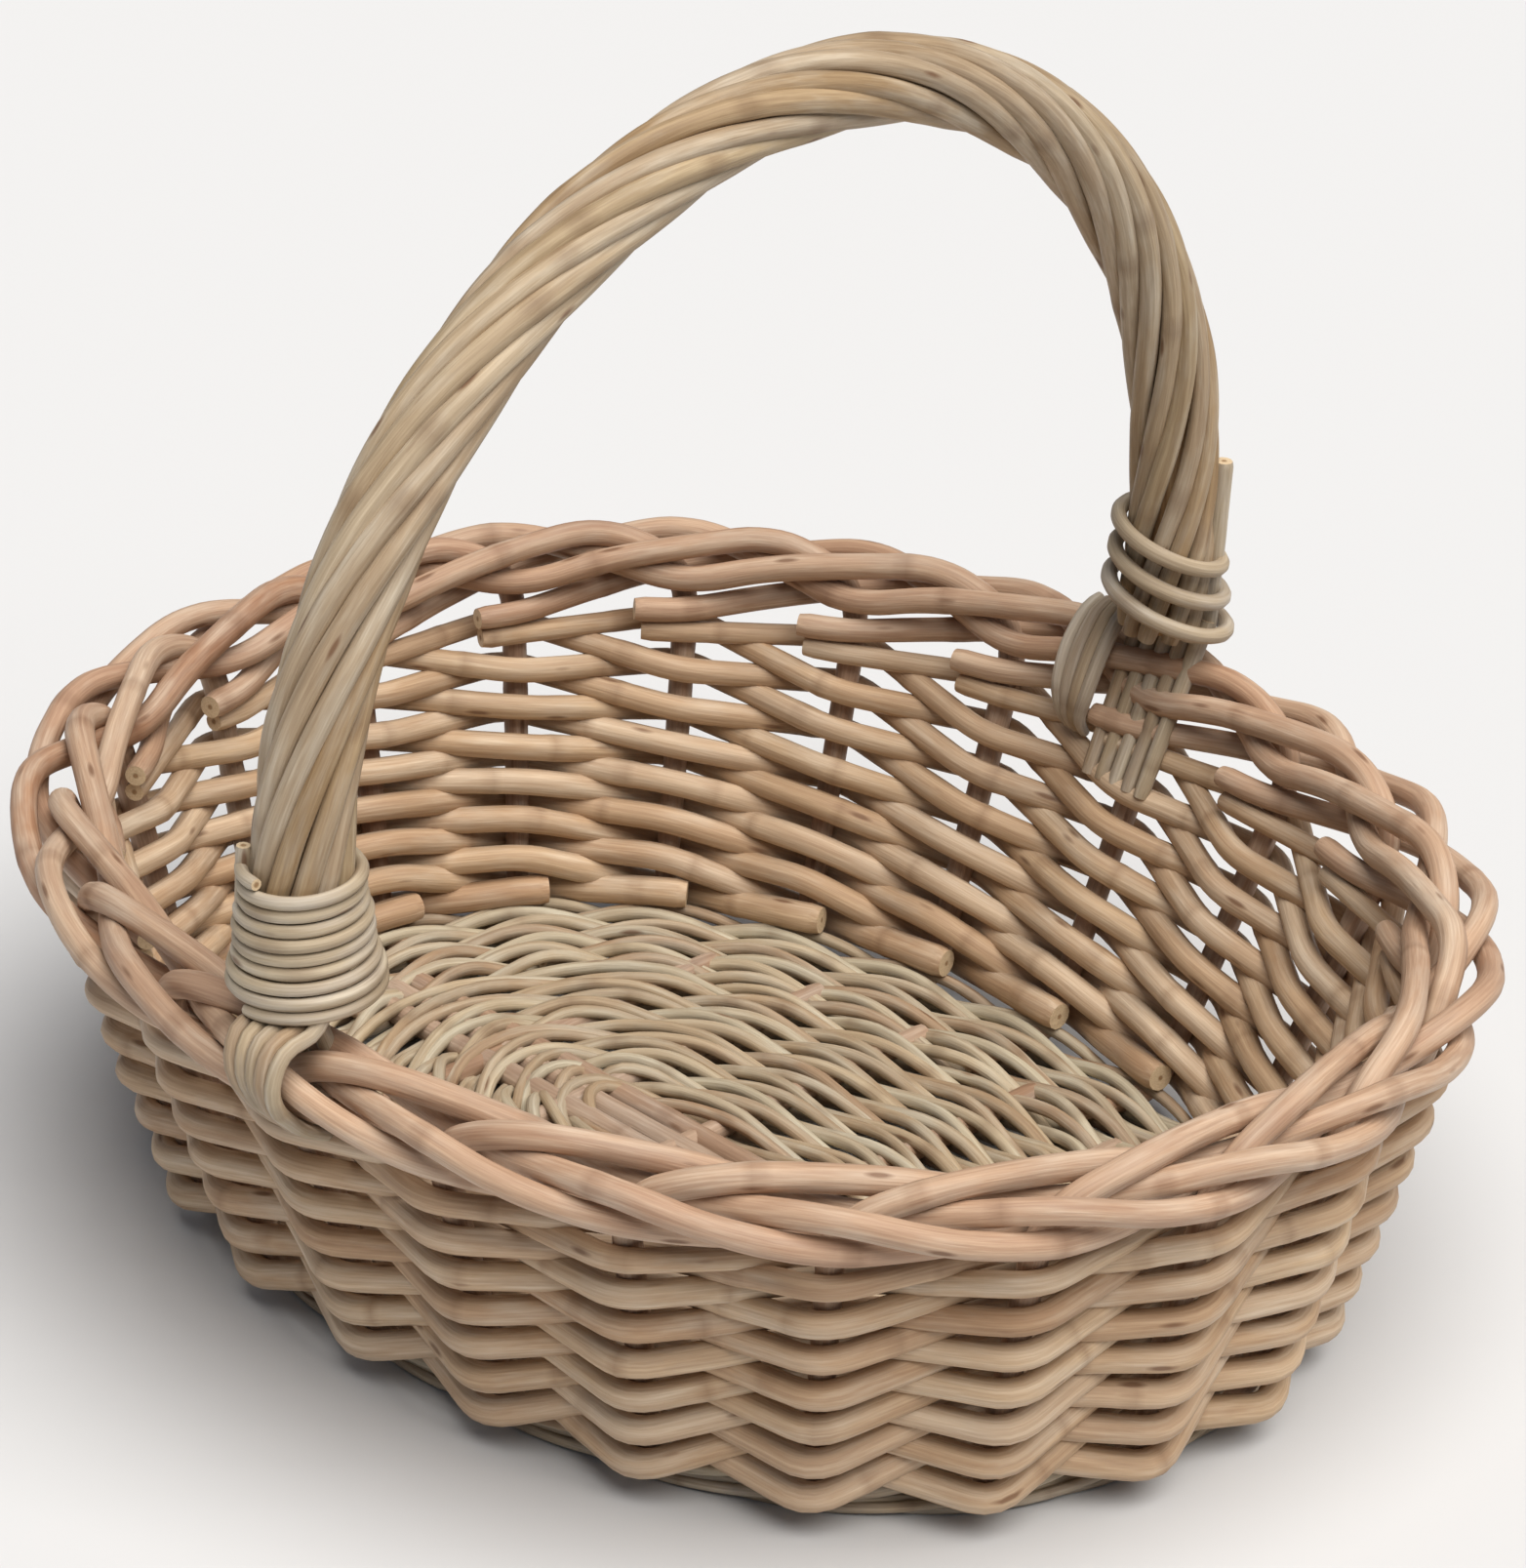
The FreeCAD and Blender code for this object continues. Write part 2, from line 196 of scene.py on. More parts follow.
def peeled_willow(name, tones, stain, bleached, streak_depth=0.30, roughness=0.56):
    """Peeled white willow, dried and handled: fibres and streaks along the rod, a brown leaf scar
    here and there, bleached patches where it is rubbed, pale cut ends with a darker pith."""
    material = bpy.data.materials.new(name)
    material.use_nodes = True
    tree = material.node_tree
    tree.nodes.clear()
    grain = add(tree, "ShaderNodeAttribute", {"attribute_name": "grain"}).outputs["Vector"]
    tone = add(tree, "ShaderNodeAttribute", {"attribute_name": "tone"}).outputs["Fac"]
    joint = add(tree, "ShaderNodeAttribute", {"attribute_name": "joint"}).outputs["Fac"]
    cut = add(tree, "ShaderNodeAttribute", {"attribute_name": "cut"}).outputs["Fac"]

    def pattern(kind, wide, long, inputs):
        """A texture drawn out along the rod: wide across the grain, long along it."""
        place = add(tree, "ShaderNodeMapping", {},
                    {"Vector": grain, "Scale": (1 / wide, 1 / wide, 1 / long)})
        return add(tree, kind, {}, {"Vector": place.outputs[0], "Scale": 1.0, **inputs}).outputs

    def noise(wide, long, inputs):
        return pattern("ShaderNodeTexNoise", wide, long, inputs)[0]

    def mix(factor, a, b, blend="MIX"):
        return add(tree, "ShaderNodeMix", {"data_type": "RGBA", "blend_type": blend},
                   {0: factor, 6: a, 7: b}).outputs[2]

    def band(value, low, high, out=1.0, start=0.0):
        return add(tree, "ShaderNodeMapRange", {}, {"Value": value, "From Min": low, "From Max": high,
                                                    "To Min": start, "To Max": out}).outputs[0]

    # fibres are about 0.1 mm wide on the real rod; they are drawn at 0.5 mm so that they show
    fibre = noise(0.5 * mm, 14 * mm, {"Detail": 3.0, "Roughness": 0.6})
    streak = noise(1.8 * mm, 45 * mm, {"Detail": 2.0})
    patch = noise(6 * mm, 30 * mm, {"Detail": 3.0, "Roughness": 0.65})
    blot = noise(9 * mm, 70 * mm, {"Detail": 2.0, "Distortion": 0.4})
    scar = pattern("ShaderNodeTexVoronoi", 8 * mm, 34 * mm, {"Randomness": 1.0})["Distance"]

    # every rod of the bundle takes a tone of its own
    ramp = add(tree, "ShaderNodeValToRGB", {}, {0: tone})
    stops = ramp.color_ramp.elements
    while len(stops) < len(tones):
        stops.new(0.5)
    for i, hex_colour in enumerate(tones):
        stops[i].position = i / (len(tones) - 1)
        stops[i].color = linear(hex_colour)
    colour = mix(band(patch, 0.44, 0.70, 0.55), ramp.outputs[0], linear(bleached))
    colour = mix(band(blot, 0.50, 0.74, 0.45), colour, linear(stain))
    colour = mix(band(streak, 0.38, 0.66, 0.0, streak_depth), colour, linear(stain), "MULTIPLY")
    colour = mix(band(fibre, 0.35, 0.68, 0.0, streak_depth), colour, linear(stain), "MULTIPLY")
    colour = mix(band(joint, 0.2, 1.0, 0.30), colour, linear("#8E6A48"), "MULTIPLY")
    colour = mix(band(scar, 0.13, 0.06, 0.75), colour, linear("#6B4830"))

    heart = add(tree, "ShaderNodeVectorMath", {"operation": "MULTIPLY"},
                {0: grain, 1: (1.0, 1.0, 0.0)}).outputs[0]
    from_heart = add(tree, "ShaderNodeVectorMath", {"operation": "LENGTH"}, {0: heart}).outputs["Value"]
    wood = mix(band(from_heart, 0.5 * mm, 1.0 * mm), linear("#8F6F4E"), linear("#DCC7A6"))
    wood = mix(band(fibre, 0.35, 0.65, 0.5), wood, linear("#B59A78"))
    colour = mix(cut, colour, wood)

    rough = band(fibre, 0.3, 0.7, roughness + 0.10, roughness - 0.08)
    relief = add(tree, "ShaderNodeMath", {"operation": "MULTIPLY_ADD"},
                 {0: streak, 1: 1.6, 2: fibre}).outputs[0]
    bump = add(tree, "ShaderNodeBump", {}, {"Height": relief, "Strength": 0.55,
                                            "Distance": 0.25 * mm})
    shader = add(tree, "ShaderNodeBsdfPrincipled", {},
                 {"Base Color": colour, "Roughness": rough, "Normal": bump.outputs[0],
                  "IOR": 1.45, "Specular IOR Level": 0.38})
    add(tree, "ShaderNodeOutputMaterial", {}, {0: shader.outputs[0]})
    return material


def make_rods(name, rods, finish, nodes, sides=12, step=3.0 * mm, knobbly=0.035,
              joint_spacing=55 * mm, closed=False):
    """Turns paths of (points, radii, tone) into one piece, which stands for the given nodes."""
    data = bpy.data.curves.new(name + "_path", "CURVE")
    data.dimensions = "3D"
    for points, radii, tone in rods:
        spline = data.splines.new("POLY")
        spline.points.add(len(points) - 1)
        spline.use_cyclic_u = closed
        for point, place, radius in zip(spline.points, points, radii):
            point.co = (*place, 1.0)
            point.radius = radius
            point.tilt = tone * 2 * math.pi
    path = bpy.data.objects.new(name + "_path", data)
    bpy.context.scene.collection.objects.link(path)
    sweep = path.modifiers.new("rods", "NODES")
    sweep.node_group = rod_tree
    for label, value in (("Sides", sides), ("Step", step), ("Knobbliness", knobbly),
                         ("Joint spacing", joint_spacing), ("Finish", finish)):
        sweep[rod_input[label]] = value
    evaluated = path.evaluated_get(bpy.context.evaluated_depsgraph_get())
    mesh = bpy.data.meshes.new_from_object(evaluated)
    mesh.name = name
    bpy.data.objects.remove(path)
    piece = bpy.data.objects.new(name, mesh)
    bpy.context.scene.collection.objects.link(piece)
    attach(piece, "root")
    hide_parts(*nodes)


chance = random.Random(22)
stick_finish = peeled_willow("peeled willow, base sticks", ["#BBA28C", "#C3B09D", "#AC8E75"],
                             "#9A7B62", "#CAC0B5")
right_places = [foot_line.at(station)[0] for station in cross_stick_stations]
cross_stick_places = [-x for x in reversed(right_places)] + right_places


def base_reach(x, inset):
    """How far a line across the base at x runs before it is inset from the stake line."""
    share = 1 - abs(x / base_half_length) ** oval_power
    return base_half_width * share ** (1 / oval_power) - inset


crossing = []
for x in cross_stick_places:
    reach = base_reach(x, stick_end_inset)
    ends = [Vector((x, -reach, base_level)), Vector((x, reach, base_level))]
    points = [ends[0].lerp(ends[1], i / stick_steps) for i in range(stick_steps + 1)]
    crossing.append((points, [cross_stick_d / 2] * len(points), chance.random()))
make_rods("cross_sticks", crossing, stick_finish, ["base_cross_sticks"])

lengthwise = []
for row in (-1, 0, 1):
    reach = base_half_length - stick_end_inset
    points = [Vector((reach * (2 * i / stick_steps - 1), row * long_stick_pitch, base_level))
              for i in range(stick_steps + 1)]
    lengthwise.append((points, [long_stick_d / 2] * len(points), chance.random()))
make_rods("long_sticks", lengthwise, stick_finish, ["base_long_sticks"])

# --- Woven base ----------------------------------------------------------------------------------
# The base is paired with thin peeled rods: two rods twist round each other, one over and one under
# every stick, round after round, and near the edge they catch the stakes' ends instead.

rim_half_length = 190.0 * mm
rim_half_width = 168.0 * mm
border_height = 110.0 * mm
base_rod_d = 3.7 * mm
round_pitch = 5.3 * mm
base_edge_inset = 5.0 * mm
over_stick = 3.7 * mm       # how far a base rod rises over a stick, from the sticks' middle
points_to_stick = 8         # points of a rod from one stick to the next
widest_crossing = 0.93      # share of a round's half length past which it meets no cross stick

rim = Oval(rim_half_length, rim_half_width)


def wall_place(station, z):
    """Plan place of the stake line at a height: the wall flares evenly from base to border."""
    share = (z - base_level) / (border_height - base_level)
    low, high = foot_line.at(station), rim.at(station)
    return low[0] + (high[0] - low[0]) * share, low[1] + (high[1] - low[1]) * share


def wall_point(station, outward, z):
    """A point beside the stake line, moved outward in plan."""
    before, after = wall_place(station - 0.25, z), wall_place(station + 0.25, z)
    along = math.dist(before, after)
    x, y = wall_place(station, z)
    return Vector((x + (after[1] - before[1]) / along * outward,
                   y - (after[0] - before[0]) / along * outward, z))


def paired_round(path_at, sticks, slant):
    """Two rods twisted round each other; each passes over every second stick."""
    strands = []
    for turn in (0, 1):
        points = []
        for i in range(sticks * points_to_stick):
            place = i / points_to_stick
            swing = math.pi * (place + turn)
            apart = slant * base_rod_d / 2 * math.sin(swing)
            points.append(path_at(place, apart) + Vector((0, 0, over_stick * math.cos(swing))))
        radius = base_rod_d / 2 * chance.uniform(0.9, 1.08)
        strands.append((points, [radius] * len(points), chance.random()))
    return strands


def crossings(half_length, half_width):
    """Angles where a round of the base meets the cross sticks and the ends of the long ones."""
    met = [0.0, math.pi]
    for x in cross_stick_places:
        if abs(x) < half_length * widest_crossing:
            angle = math.acos(math.copysign((abs(x) / half_length) ** (oval_power / 2), x))
            met += [angle, 2 * math.pi - angle]
    return sorted(met)


base_rounds = []
slant = -1                  # each round is twisted the other way from the one before
inset = base_edge_inset
while inset < base_edge_inset + tail_length:
    def edge_point(station, apart):
        return wall_point(station, apart - inset, base_level)

    base_rounds += paired_round(edge_point, stake_count, slant)
    slant = -slant
    inset += round_pitch
while base_half_width - inset > long_stick_pitch + base_rod_d + long_stick_d / 2:
    half_length, half_width = base_half_length - inset, base_half_width - inset
    met = crossings(half_length, half_width)
    met.append(met[0] + 2 * math.pi)

    def round_point(place, apart):
        stick = int(place)
        angle = met[stick] + (met[stick + 1] - met[stick]) * (place - stick)
        return Vector((*oval_point(half_length + apart, half_width + apart, angle), base_level))

    base_rounds += paired_round(round_point, len(met) - 1, slant)
    slant = -slant
    inset += round_pitch
base_finish = peeled_willow("peeled willow, thin base rods",
                            ["#BEAB8E", "#CABEA4", "#B19A7D", "#CDC7B0", "#AA8C6F"],
                            "#9A7E63", "#CFCFC1")
make_rods("paired_base", base_rounds, base_finish, ["base_weave"], sides=8,
          step=3.2 * mm, joint_spacing=90 * mm, closed=True)

# --- Side stakes and rolled border ---------------------------------------------------------------
# Twenty-two stout willow stakes are pushed into the base, kinked up at its edge and flared outward.
# At the top each is laid down behind two others and in front of two, and its end is cut off inside.

stake_d = 7.6 * mm
upsett_run = 20.0 * mm
stake_bend = 0.48           # how much of the shorter run beside it a bend uses
# From the pointed tail: share of the length, then share of the thickness.
stake_taper = [(0.0, 0.45), (0.08, 0.92), (0.35, 1.0), (1.0, 0.93)]
# Bays travelled, then outward offset and height in rod diameters.
border_way = [
    (0.5, -0.33, 1.11), (1.0, -1.22, 0.79), (1.5, -1.46, 0.34), (2.0, -1.13, -0.67),
    (2.5, -0.03, -0.04), (3.0, 1.07, 0.66), (3.5, 1.43, -0.25), (4.0, 1.29, -0.83),
    (4.5, 0.04, -1.29), (5.0, -1.18, -1.58), (5.3, -1.32, -1.58),
]
stake_finish = peeled_willow("peeled willow, stout stakes",
                             ["#C6A88E", "#D2B69B", "#BA977F", "#D7BFA5", "#B58F72"],
                             "#A27B62", "#DBCEBC")


def rounded(corners, share, steps=6):
    """A path with each corner eased by a curve that uses share of the shorter run beside it."""
    path = [corners[0]]
    for before, corner, after in zip(corners, corners[1:], corners[2:]):
        reach = share * min((corner - before).length, (after - corner).length)
        start = corner + (before - corner).normalized() * reach
        end = corner + (after - corner).normalized() * reach
        for i in range(steps + 1):
            t = i / steps
            path.append(start * (1 - t) ** 2 + corner * 2 * t * (1 - t) + end * t ** 2)
    path.append(corners[-1])
    return path


def taper(path, sizes):
    """Radii along a path from (share of the length, diameter) pairs."""
    lengths = [0.0]
    for a, b in zip(path, path[1:]):
        lengths.append(lengths[-1] + (b - a).length)
    radii = []
    for length in lengths:
        share = length / lengths[-1]
        for (low, low_d), (high, high_d) in zip(sizes, sizes[1:]):
            if share <= high:
                part = (share - low) / (high - low)
                radii.append((low_d + (high_d - low_d) * part * part * (3 - 2 * part)) / 2)
                break
        else:
            radii.append(sizes[-1][1] / 2)
    return radii


for k in range(stake_count):
    lean = chance.uniform(-0.03, 0.03)
    size = stake_d * chance.uniform(0.95, 1.06)
    corners = [wall_point(k, -tail_length, base_level), wall_point(k, -upsett_run, base_level),
               wall_point(k, 0, base_level),
               wall_point(k + lean, 0, border_height * 0.5),
               wall_point(k + lean, 0, border_height - stake_d * 0.4)]
    for bays, outward, height in border_way:
        shift = chance.uniform(-0.05, 0.05)
        drift = chance.uniform(-0.05, 0.05)
        corners.append(wall_point(k + bays + lean, (outward + shift) * stake_d,
                                  border_height + (height + drift) * stake_d))
    path = rounded(corners, stake_bend)
    radii = taper(path, [(share, part * size) for share, part in stake_taper])
    make_rods("stake_%02d" % (k + 1), [(path, radii, chance.random())],
              stake_finish, ["side_stake_%02d" % (k + 1)], sides=16, knobbly=0.03,
              joint_spacing=75 * mm)

# --- Randed wall ---------------------------------------------------------------------------------
# One weaver starts at every stake, its thick butt inside just above the base. It goes in front of one
# stake and behind the next, climbing two thirds of the way round to a thin tip inside the border.

weaver_d = 7.8 * mm
butt_d = 9.0 * mm
rod_gap = 0.2 * mm
first_stroke_height = 12.0 * mm     # of the first stroke outside the stakes
first_butt_height = 19.0 * mm       # of the butt, inside them
front_rise = 12.92 * mm     # from one stroke outside to the next
back_rise = 10.36 * mm      # and inside
stroke_pairs = 7
strokes = 2 * stroke_pairs + 1
butt_bays = 0.18            # how far the butt reaches past its first stake
tip_bays = 0.24             # how far the tip reaches past its last one
corner_share = 0.15         # how much of a run the bend round a stake uses
stand_off = 1.2 * mm        # how much further out the strokes between butt and tip are pushed
weaver_sizes = [(0.0, butt_d), (0.035, butt_d), (0.085, 8.0 * mm), (0.35, weaver_d),
                (0.8, 7.4 * mm), (1.0, 6.2 * mm)]
weaver_finish = peeled_willow("peeled willow, weavers",
                              ["#CFB494", "#DAC2A3", "#C8AB8C", "#DDC8AD", "#C3A484", "#D3BA9A"],
                              "#AA8969", "#E1D5C2")


def weaver_size(share):
    for (low, low_d), (high, high_d) in zip(weaver_sizes, weaver_sizes[1:]):
        if share <= high:
            return low_d + (high_d - low_d) * (share - low) / (high - low)
    return weaver_sizes[-1][1]


for k in range(stake_count):
    corners = []
    for step in range(-1, strokes + 1):
        place = k + step
        stroke = min(max(step, 0), strokes - 1)
        if step < 0:
            place = k - butt_bays
        if step == strokes:
            place = k + strokes - 1 + tip_bays
        if stroke % 2:
            height = first_stroke_height + front_rise * (stroke - 1) / 2
        else:
            height = first_butt_height + back_rise * stroke / 2
        size = weaver_size((stroke + butt_bays) / (strokes - 1 + butt_bays + tip_bays))
        outward = (stake_d + size) / 2 + rod_gap
        if 0 < stroke < strokes - 1:
            outward += stand_off
        side = 1 if stroke % 2 else -1
        height += chance.uniform(-0.45, 0.45) * mm
        corners.append(wall_point(place, side * (outward + chance.uniform(-0.2, 0.3) * mm), height))
    path = rounded(corners, corner_share)
    make_rods("weaver_rod_%02d" % (k + 1), [(path, taper(path, weaver_sizes), chance.random())],
              weaver_finish, ["weaver_%02d" % (k + 1)], sides=12, step=3.2 * mm)

# --- Foot wale -----------------------------------------------------------------------------------
# A rope of three thin rods is worked round the bottom corner last. The basket stands on it, so it
# takes the wear.

foot_inset = 6.0 * mm
foot_rods = 3
foot_rod_d = 3.0 * mm
foot_twist = 1.55 * mm      # middle of a rod from the middle of the wale
foot_level = 3.1 * mm       # middle of the wale above the ground
points_to_stake = 12
wale = []
for strand in range(foot_rods):
    points = []
    for i in range(stake_count * points_to_stake):
        swing = 2 * math.pi * (i / points_to_stake + strand) / foot_rods
        beside = foot_twist * math.cos(swing) - foot_inset
        below = Vector((0, 0, foot_level - base_level + foot_twist * math.sin(swing)))
        points.append(wall_point(i / points_to_stake + 0.5, beside, base_level) + below)
    wale.append((points, [foot_rod_d / 2] * len(points), chance.random()))
foot_finish = peeled_willow("peeled willow, worn foot", ["#BEAF98", "#B5A186", "#C8BDA9"],
                            "#8B725A", "#CFC9BE")
make_rods("rod_wale", wale, foot_finish, ["foot_wale"], sides=10, closed=True)

# --- Handle bow and roping -----------------------------------------------------------------------
# A thick bent willow bow stands over the border, across the basket. Ten long rods are roped round it
# in a slow twist from foot to foot, side by side so that the bow is hidden.

border_top = border_height + 12.24 * mm
handle_half_span = 162.0 * mm
foot_height = border_top + 5.0 * mm
handle_leg = 36.0 * mm
bow_d = 14.0 * mm
roping_d = 6.0 * mm
roping_count = 10
roping_turn = 236.0 * mm    # length of handle in which a rod goes once round
roping_steps = 160
roping_squeeze = 1.3 * mm   # how much tighter the rods are pulled at the top of the handle
drift_angle = 0.07          # how far a rod wanders round the bow, and how slowly
drift_length = 70.0 * mm
swell_height = 0.25 * mm    # how far it rises and sinks on the bow, and how slowly
swell_length = 45.0 * mm
bow_steps = 60
arch_length = math.pi * handle_half_span
handle_length = 2 * handle_leg + arch_length


def handle_place(length):
    """Middle of the handle and its outward direction, at a length from the near foot."""
    spring = foot_height + handle_leg
    if length < handle_leg:
        return Vector((0, -handle_half_span, foot_height + length)), Vector((0, -1, 0))
    if length > handle_leg + arch_length:
        down = length - handle_leg - arch_length
        return Vector((0, handle_half_span, spring - down)), Vector((0, 1, 0))
    angle = (length - handle_leg) / handle_half_span
    out = Vector((0, -math.cos(angle), math.sin(angle)))
    return Vector((0, 0, spring)) + out * handle_half_span, out


bow_path = [handle_place(handle_length * i / bow_steps)[0] for i in range(bow_steps + 1)]
bow_finish = peeled_willow("peeled willow, handle bow", ["#B9946A", "#C5A379", "#AD8459"],
                           "#8A6742", "#CDB48E")
make_rods("bow_rod", [(bow_path, [bow_d / 2] * len(bow_path), chance.random())],
          bow_finish, ["handle_bow"], sides=20)

roping = []
for strand in range(roping_count):
    points = []
    slip = chance.uniform(0, 6)
    for i in range(roping_steps + 1):
        length = handle_length * i / roping_steps
        middle, out = handle_place(length)
        turn = 2 * math.pi * (strand / roping_count + length / roping_turn)
        turn += drift_angle * math.sin(length / drift_length + slip)
        ride_out = (bow_d + roping_d) / 2 - roping_squeeze * math.sin(math.pi * i / roping_steps)
        ride_out += swell_height * math.sin(length / swell_length + 2 * slip)
        points.append(middle + (out * math.cos(turn) + Vector((1, 0, 0)) * math.sin(turn)) * ride_out)
    size = roping_d * chance.uniform(0.94, 1.1)
    radii = taper(points, [(0.0, size), (0.5, size), (1.0, 0.9 * size)])
    roping.append((points, radii, chance.random()))
roping_finish = peeled_willow("peeled willow, handle roping",
                              ["#BDA989", "#CDBDA3", "#B29875", "#D4C7B0", "#A68968"],
                              "#937856", "#D7D0C1")
make_rods("handle_ropes", roping, roping_finish, ["handle_roping"], sides=14,
          joint_spacing=110 * mm)

# --- Foot ties -----------------------------------------------------------------------------------
# Rods bind each foot of the handle down: a flat bunch is brought over the border and tucked in below
# it, outside at one foot and inside at the other, and the roping's own ends run down the wall inside.

tie_d = 4.3 * mm
tie_bend = 0.45
border_reach = 14.7 * mm    # outer face of the border from the stake line
over_face = border_reach + tie_d / 2
run_end_count = 5           # ends of the roping's rods that run down the wall
run_end_pitch = 5.3 * mm
run_end_sizes = [(0.0, 5.0 * mm), (1.0, 4.6 * mm)]
run_end_way = [(-8 * mm, foot_height + 4 * mm), (-8 * mm, border_top),
               (-9 * mm, border_height - 6 * mm), (-9.5 * mm, border_height - 28 * mm)]
# The binding rods' colours are darkened a little below those of the other willow rods. This is painted
# shade, because the foot ties sit in shade.
tie_finish_with_painted_shade = peeled_willow("peeled willow, binding rods",
                           ["#BEAD92", "#CCC0A9", "#B29A7D", "#D2C9B9"], "#92795C", "#D6D2CB")


def foot_ties(name, station, node, count, beside, tuck, way):
    """A bunch beside the foot, drawn together at its tuck, and the ends that run down the wall.
    way lists how far the bunch has drawn together, its outward offset and its height."""
    bay = math.dist(rim.at(station), rim.at(station + 1))
    rods = []
    for i in range(count):
        from_middle = (i - (count - 1) / 2) * tie_d
        start, end = beside + from_middle, tuck + 0.4 * from_middle
        corners = []
        for drawn, outward, height in way:
            place = station + (start * (1 - drawn) + end * drawn) / bay
            corners.append(wall_point(place, outward + chance.uniform(-0.3, 0.3) * mm, height))
        path = rounded(corners, tie_bend)
        size = tie_d * chance.uniform(0.9, 1.06)
        radii = taper(path, [(0.0, size), (0.6, size), (1.0, 0.75 * size)])
        rods.append((path, radii, chance.random()))
    for i in range(run_end_count):
        place = station + (i - (run_end_count - 1) / 2) * run_end_pitch / bay
        corners = [wall_point(place, outward, height) for outward, height in run_end_way]
        path = rounded(corners, tie_bend)
        rods.append((path, taper(path, run_end_sizes), chance.random()))
    make_rods(name, rods, tie_finish_with_painted_shade, [node])


foot_ties("near_ties", 0, "near_foot_ties", 5, 8 * mm, 12 * mm,
          [(0.0, -9 * mm, foot_height + 4 * mm), (0.0, -2 * mm, border_top + 2.4 * mm),
           (0.1, 10 * mm, border_top + 1.5 * mm), (0.35, over_face, border_top - 8 * mm),
           (0.8, over_face, border_height - 3 * mm), (1.0, over_face - 6 * mm, border_height - 13 * mm),
           (1.0, 3 * mm, border_height - 18 * mm)])
foot_ties("far_ties", stake_count / 2, "far_foot_ties", 4, 20 * mm, 21 * mm,
          [(0.4, -9 * mm, border_top + 4 * mm), (0.2, -14 * mm, border_top + 2.5 * mm),
           (0.0, -over_face - 1.5 * mm, border_top - 6 * mm),
           (0.2, -over_face - 1 * mm, border_height - 5 * mm),
           (0.8, -over_face + 3 * mm, border_height - 14 * mm),
           (1.0, -6 * mm, border_height - 20 * mm)])

# --- Foot collars --------------------------------------------------------------------------------
# Thin rods are wound round each foot to clamp the handle's rods: nine close turns at the near foot,
# spread by the border below, and three loose thicker ones at the far foot that have slipped askew.

handle_d = bow_d + 2 * roping_d
collar_bite = 0.3 * mm      # how far the turns press into the roping
collar_wander = 0.4 * mm    # how far they stray from there
turn_steps = 40
slant_angle = math.radians(43)
slant_way = Vector((math.cos(slant_angle), math.sin(slant_angle)))      # the way the collars slipped


def collar(name, side, rod_d, pitch, turns, spread, slant, node, stubs):
    """Turns wound up the foot, spread at the bottom and slanted to one side, and rod ends that stand
    up beside them, each given by its place along the slant and how far up it reaches."""
    points = []
    for i in range(round(turns * turn_steps) + 1):
        turn = i / turn_steps
        angle = 2 * math.pi * turn
        low = (1 - turn / turns) ** 1.5
        around = Vector((math.sin(angle), side * math.cos(angle)))
        right = around.dot(slant_way)
        reach = handle_d / 2 + rod_d / 2 - collar_bite + spread * low * (1 + 0.5 * right)
        reach += collar_wander * math.sin(1.7 * turn + side)
        z = foot_height + rod_d / 2 + turn * pitch + slant * (reach * right - 0.35 * handle_d)
        points.append(Vector((around.x * reach, side * handle_half_span + around.y * reach, z)))
    rods = [(points, [rod_d / 2] * len(points), chance.random())]
    for place, top, lean in stubs:
        foot = Vector((slant_way.x * place, side * handle_half_span + slant_way.y * place, foot_height))
        head = foot + Vector((slant_way.x * lean, slant_way.y * lean, top))
        stub = [foot.lerp(head, i / 6) for i in range(7)]
        rods.append((stub, [0.6 * rod_d] * len(stub), chance.random()))
    # the collars share the binding rods' colours, which are darkened a little as painted shade
    make_rods(name, rods, tie_finish_with_painted_shade, [node], sides=10, step=1.6 * mm,
              joint_spacing=120 * mm)


collar("near_collar", -1, 3.6 * mm, 3.75 * mm, 9, 4.6 * mm, 0.08, "near_foot_collar",
       [(-14 * mm, 39 * mm, -0.5 * mm), (-12 * mm, 43 * mm, 1.5 * mm)])
collar("far_collar", 1, 4.7 * mm, 9.5 * mm, 2.8, 1.8 * mm, -0.27, "far_foot_collar",
       [(12.5 * mm, 52 * mm, 0.5 * mm)])

# --- Where it stands -----------------------------------------------------------------------------
# The basket stands on a plain pale floor. One broad soft light hangs high on the right, the rest is
# faint even daylight, and the camera looks down into the basket from the front right.

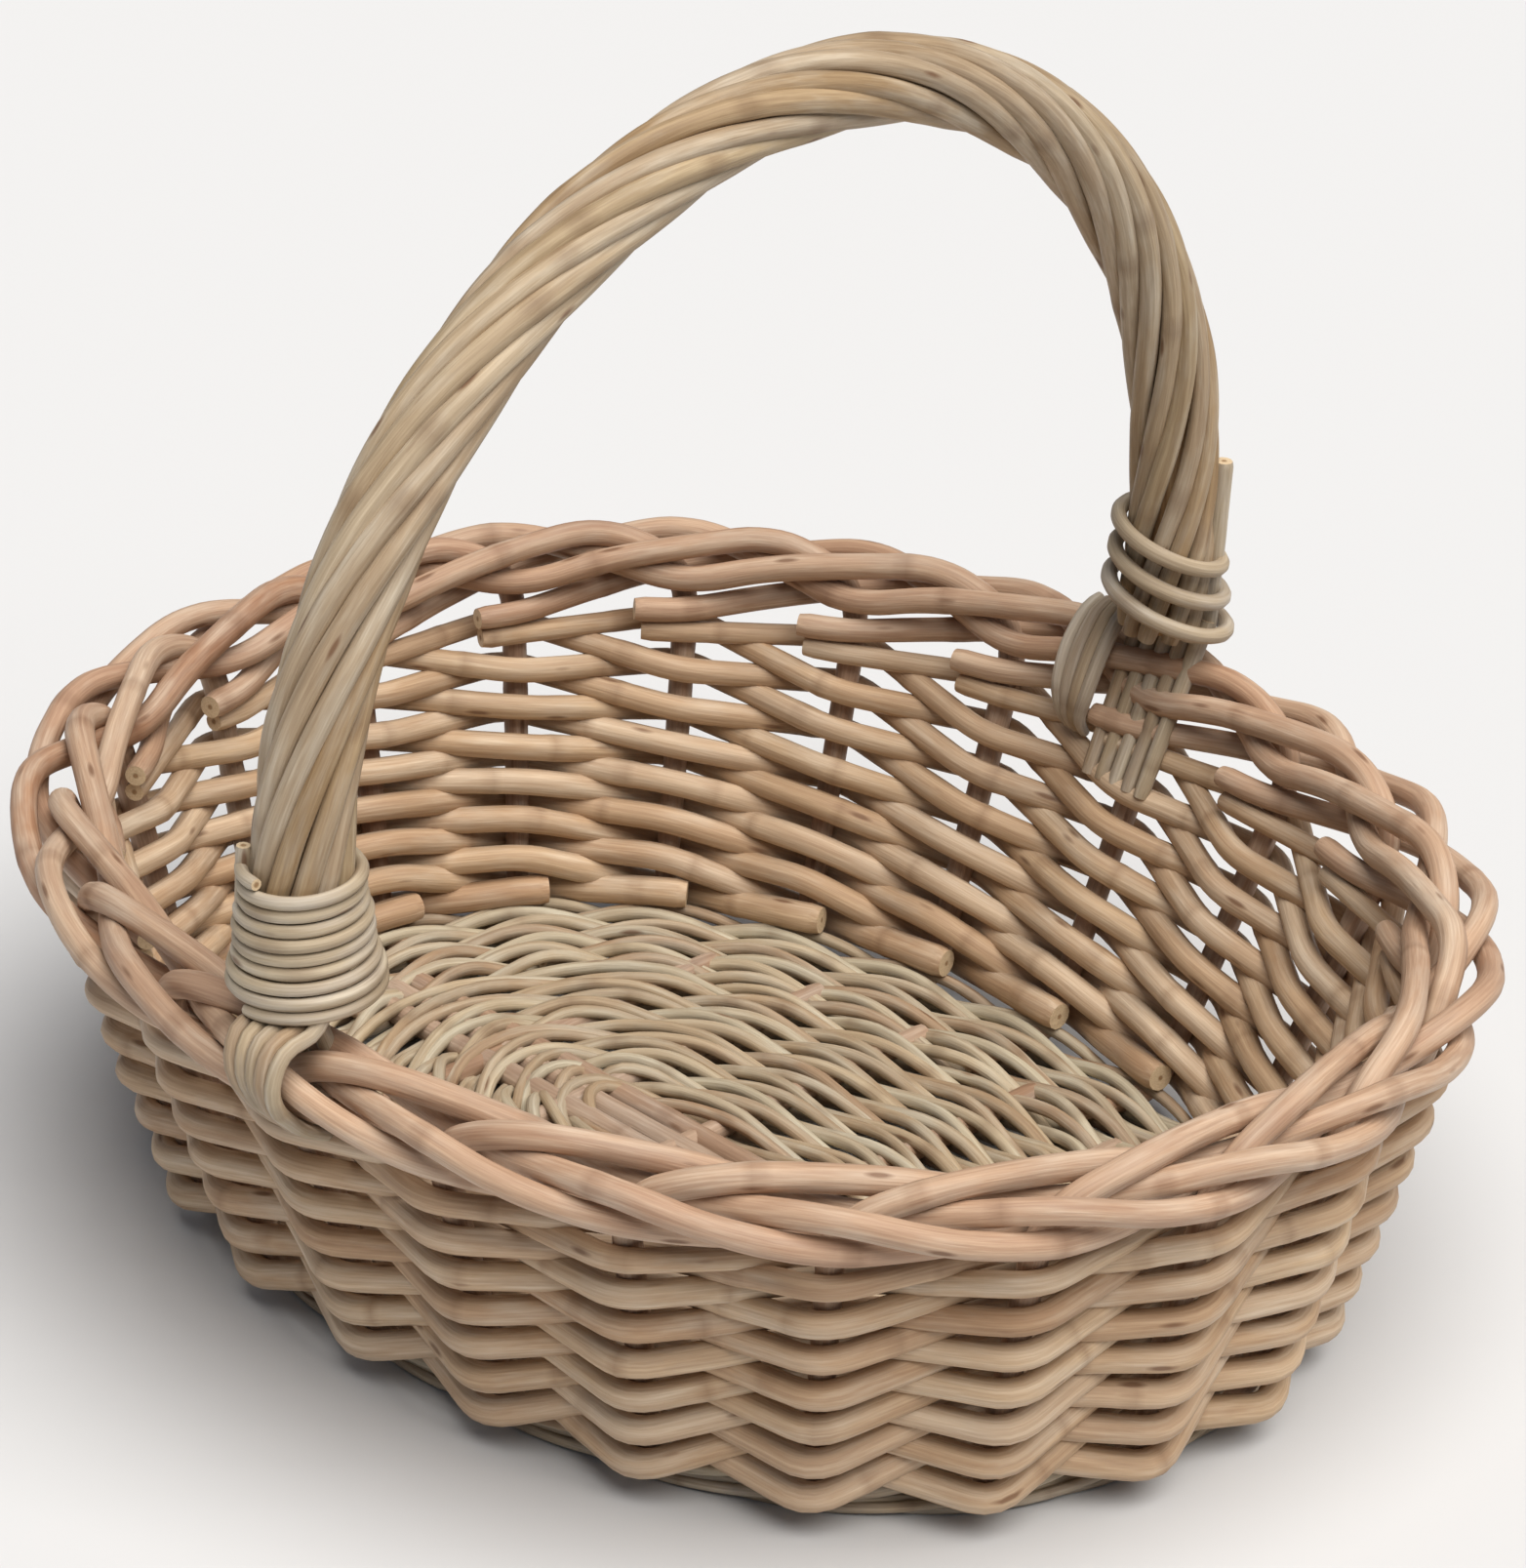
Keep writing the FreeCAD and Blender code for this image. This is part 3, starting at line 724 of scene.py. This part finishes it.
floor_half = 6.0            # metres
floor_corners = [(-floor_half, -floor_half, 0), (floor_half, -floor_half, 0),
                 (floor_half, floor_half, 0), (-floor_half, floor_half, 0)]
floor_mesh = bpy.data.meshes.new("floor")
floor_mesh.from_pydata(floor_corners, [], [(0, 1, 2, 3)])
floor = bpy.data.objects.new("floor", floor_mesh)
bpy.context.scene.collection.objects.link(floor)
# matt paper, with no gloss, so that it shows the basket's soft shadow and nothing else
paper = bpy.data.materials.new("matt white paper")
paper.use_nodes = True
paper_finish = paper.node_tree.nodes["Principled BSDF"].inputs
paper_finish["Base Color"].default_value = linear("#CFD1D4")
paper_finish["Roughness"].default_value = 0.9
floor_mesh.materials.append(paper)

world = bpy.data.worlds.new("soft daylight")
world.use_nodes = True
daylight = world.node_tree.nodes["Background"].inputs
daylight["Color"].default_value = linear("#DCE6F4")
daylight["Strength"].default_value = 0.22
bpy.context.scene.world = world

toward_softbox = Vector((0.40, -0.07, 1.0))
softbox = bpy.data.lights.new("softbox", "SUN")
softbox.angle = math.radians(62)
softbox.energy = 4.4
softbox.color = linear("#FFF9F1")[:3]
lamp = bpy.data.objects.new("softbox", softbox)
lamp.rotation_euler = toward_softbox.to_track_quat("Z", "Y").to_euler()
bpy.context.scene.collection.objects.link(lamp)

azimuth, elevation, roll = math.radians(43.0), math.radians(27.2), math.radians(3.5)
distance = 1.75
view_height = 414.175 * mm  # height of what is seen, at the target's distance
across = Vector((math.cos(azimuth), math.sin(azimuth), 0.0))
target = Vector((0.0, 0.0, 131.0 * mm)) + across * 1.6 * mm
back = Vector((math.sin(azimuth) * math.cos(elevation), -math.cos(azimuth) * math.cos(elevation),
               math.sin(elevation)))
camera_data = bpy.data.cameras.new("camera")
camera_data.sensor_fit = "VERTICAL"
camera_data.sensor_height = 36.0
camera_data.lens = camera_data.sensor_height * distance / view_height
camera = bpy.data.objects.new("camera", camera_data)
camera.location = target + back * distance
camera.rotation_mode = "QUATERNION"
camera.rotation_quaternion = back.to_track_quat("Z", "Y") @ Quaternion((0.0, 0.0, 1.0), roll)
bpy.context.scene.collection.objects.link(camera)
bpy.context.scene.camera = camera
bpy.context.scene.view_settings.view_transform = "Standard"
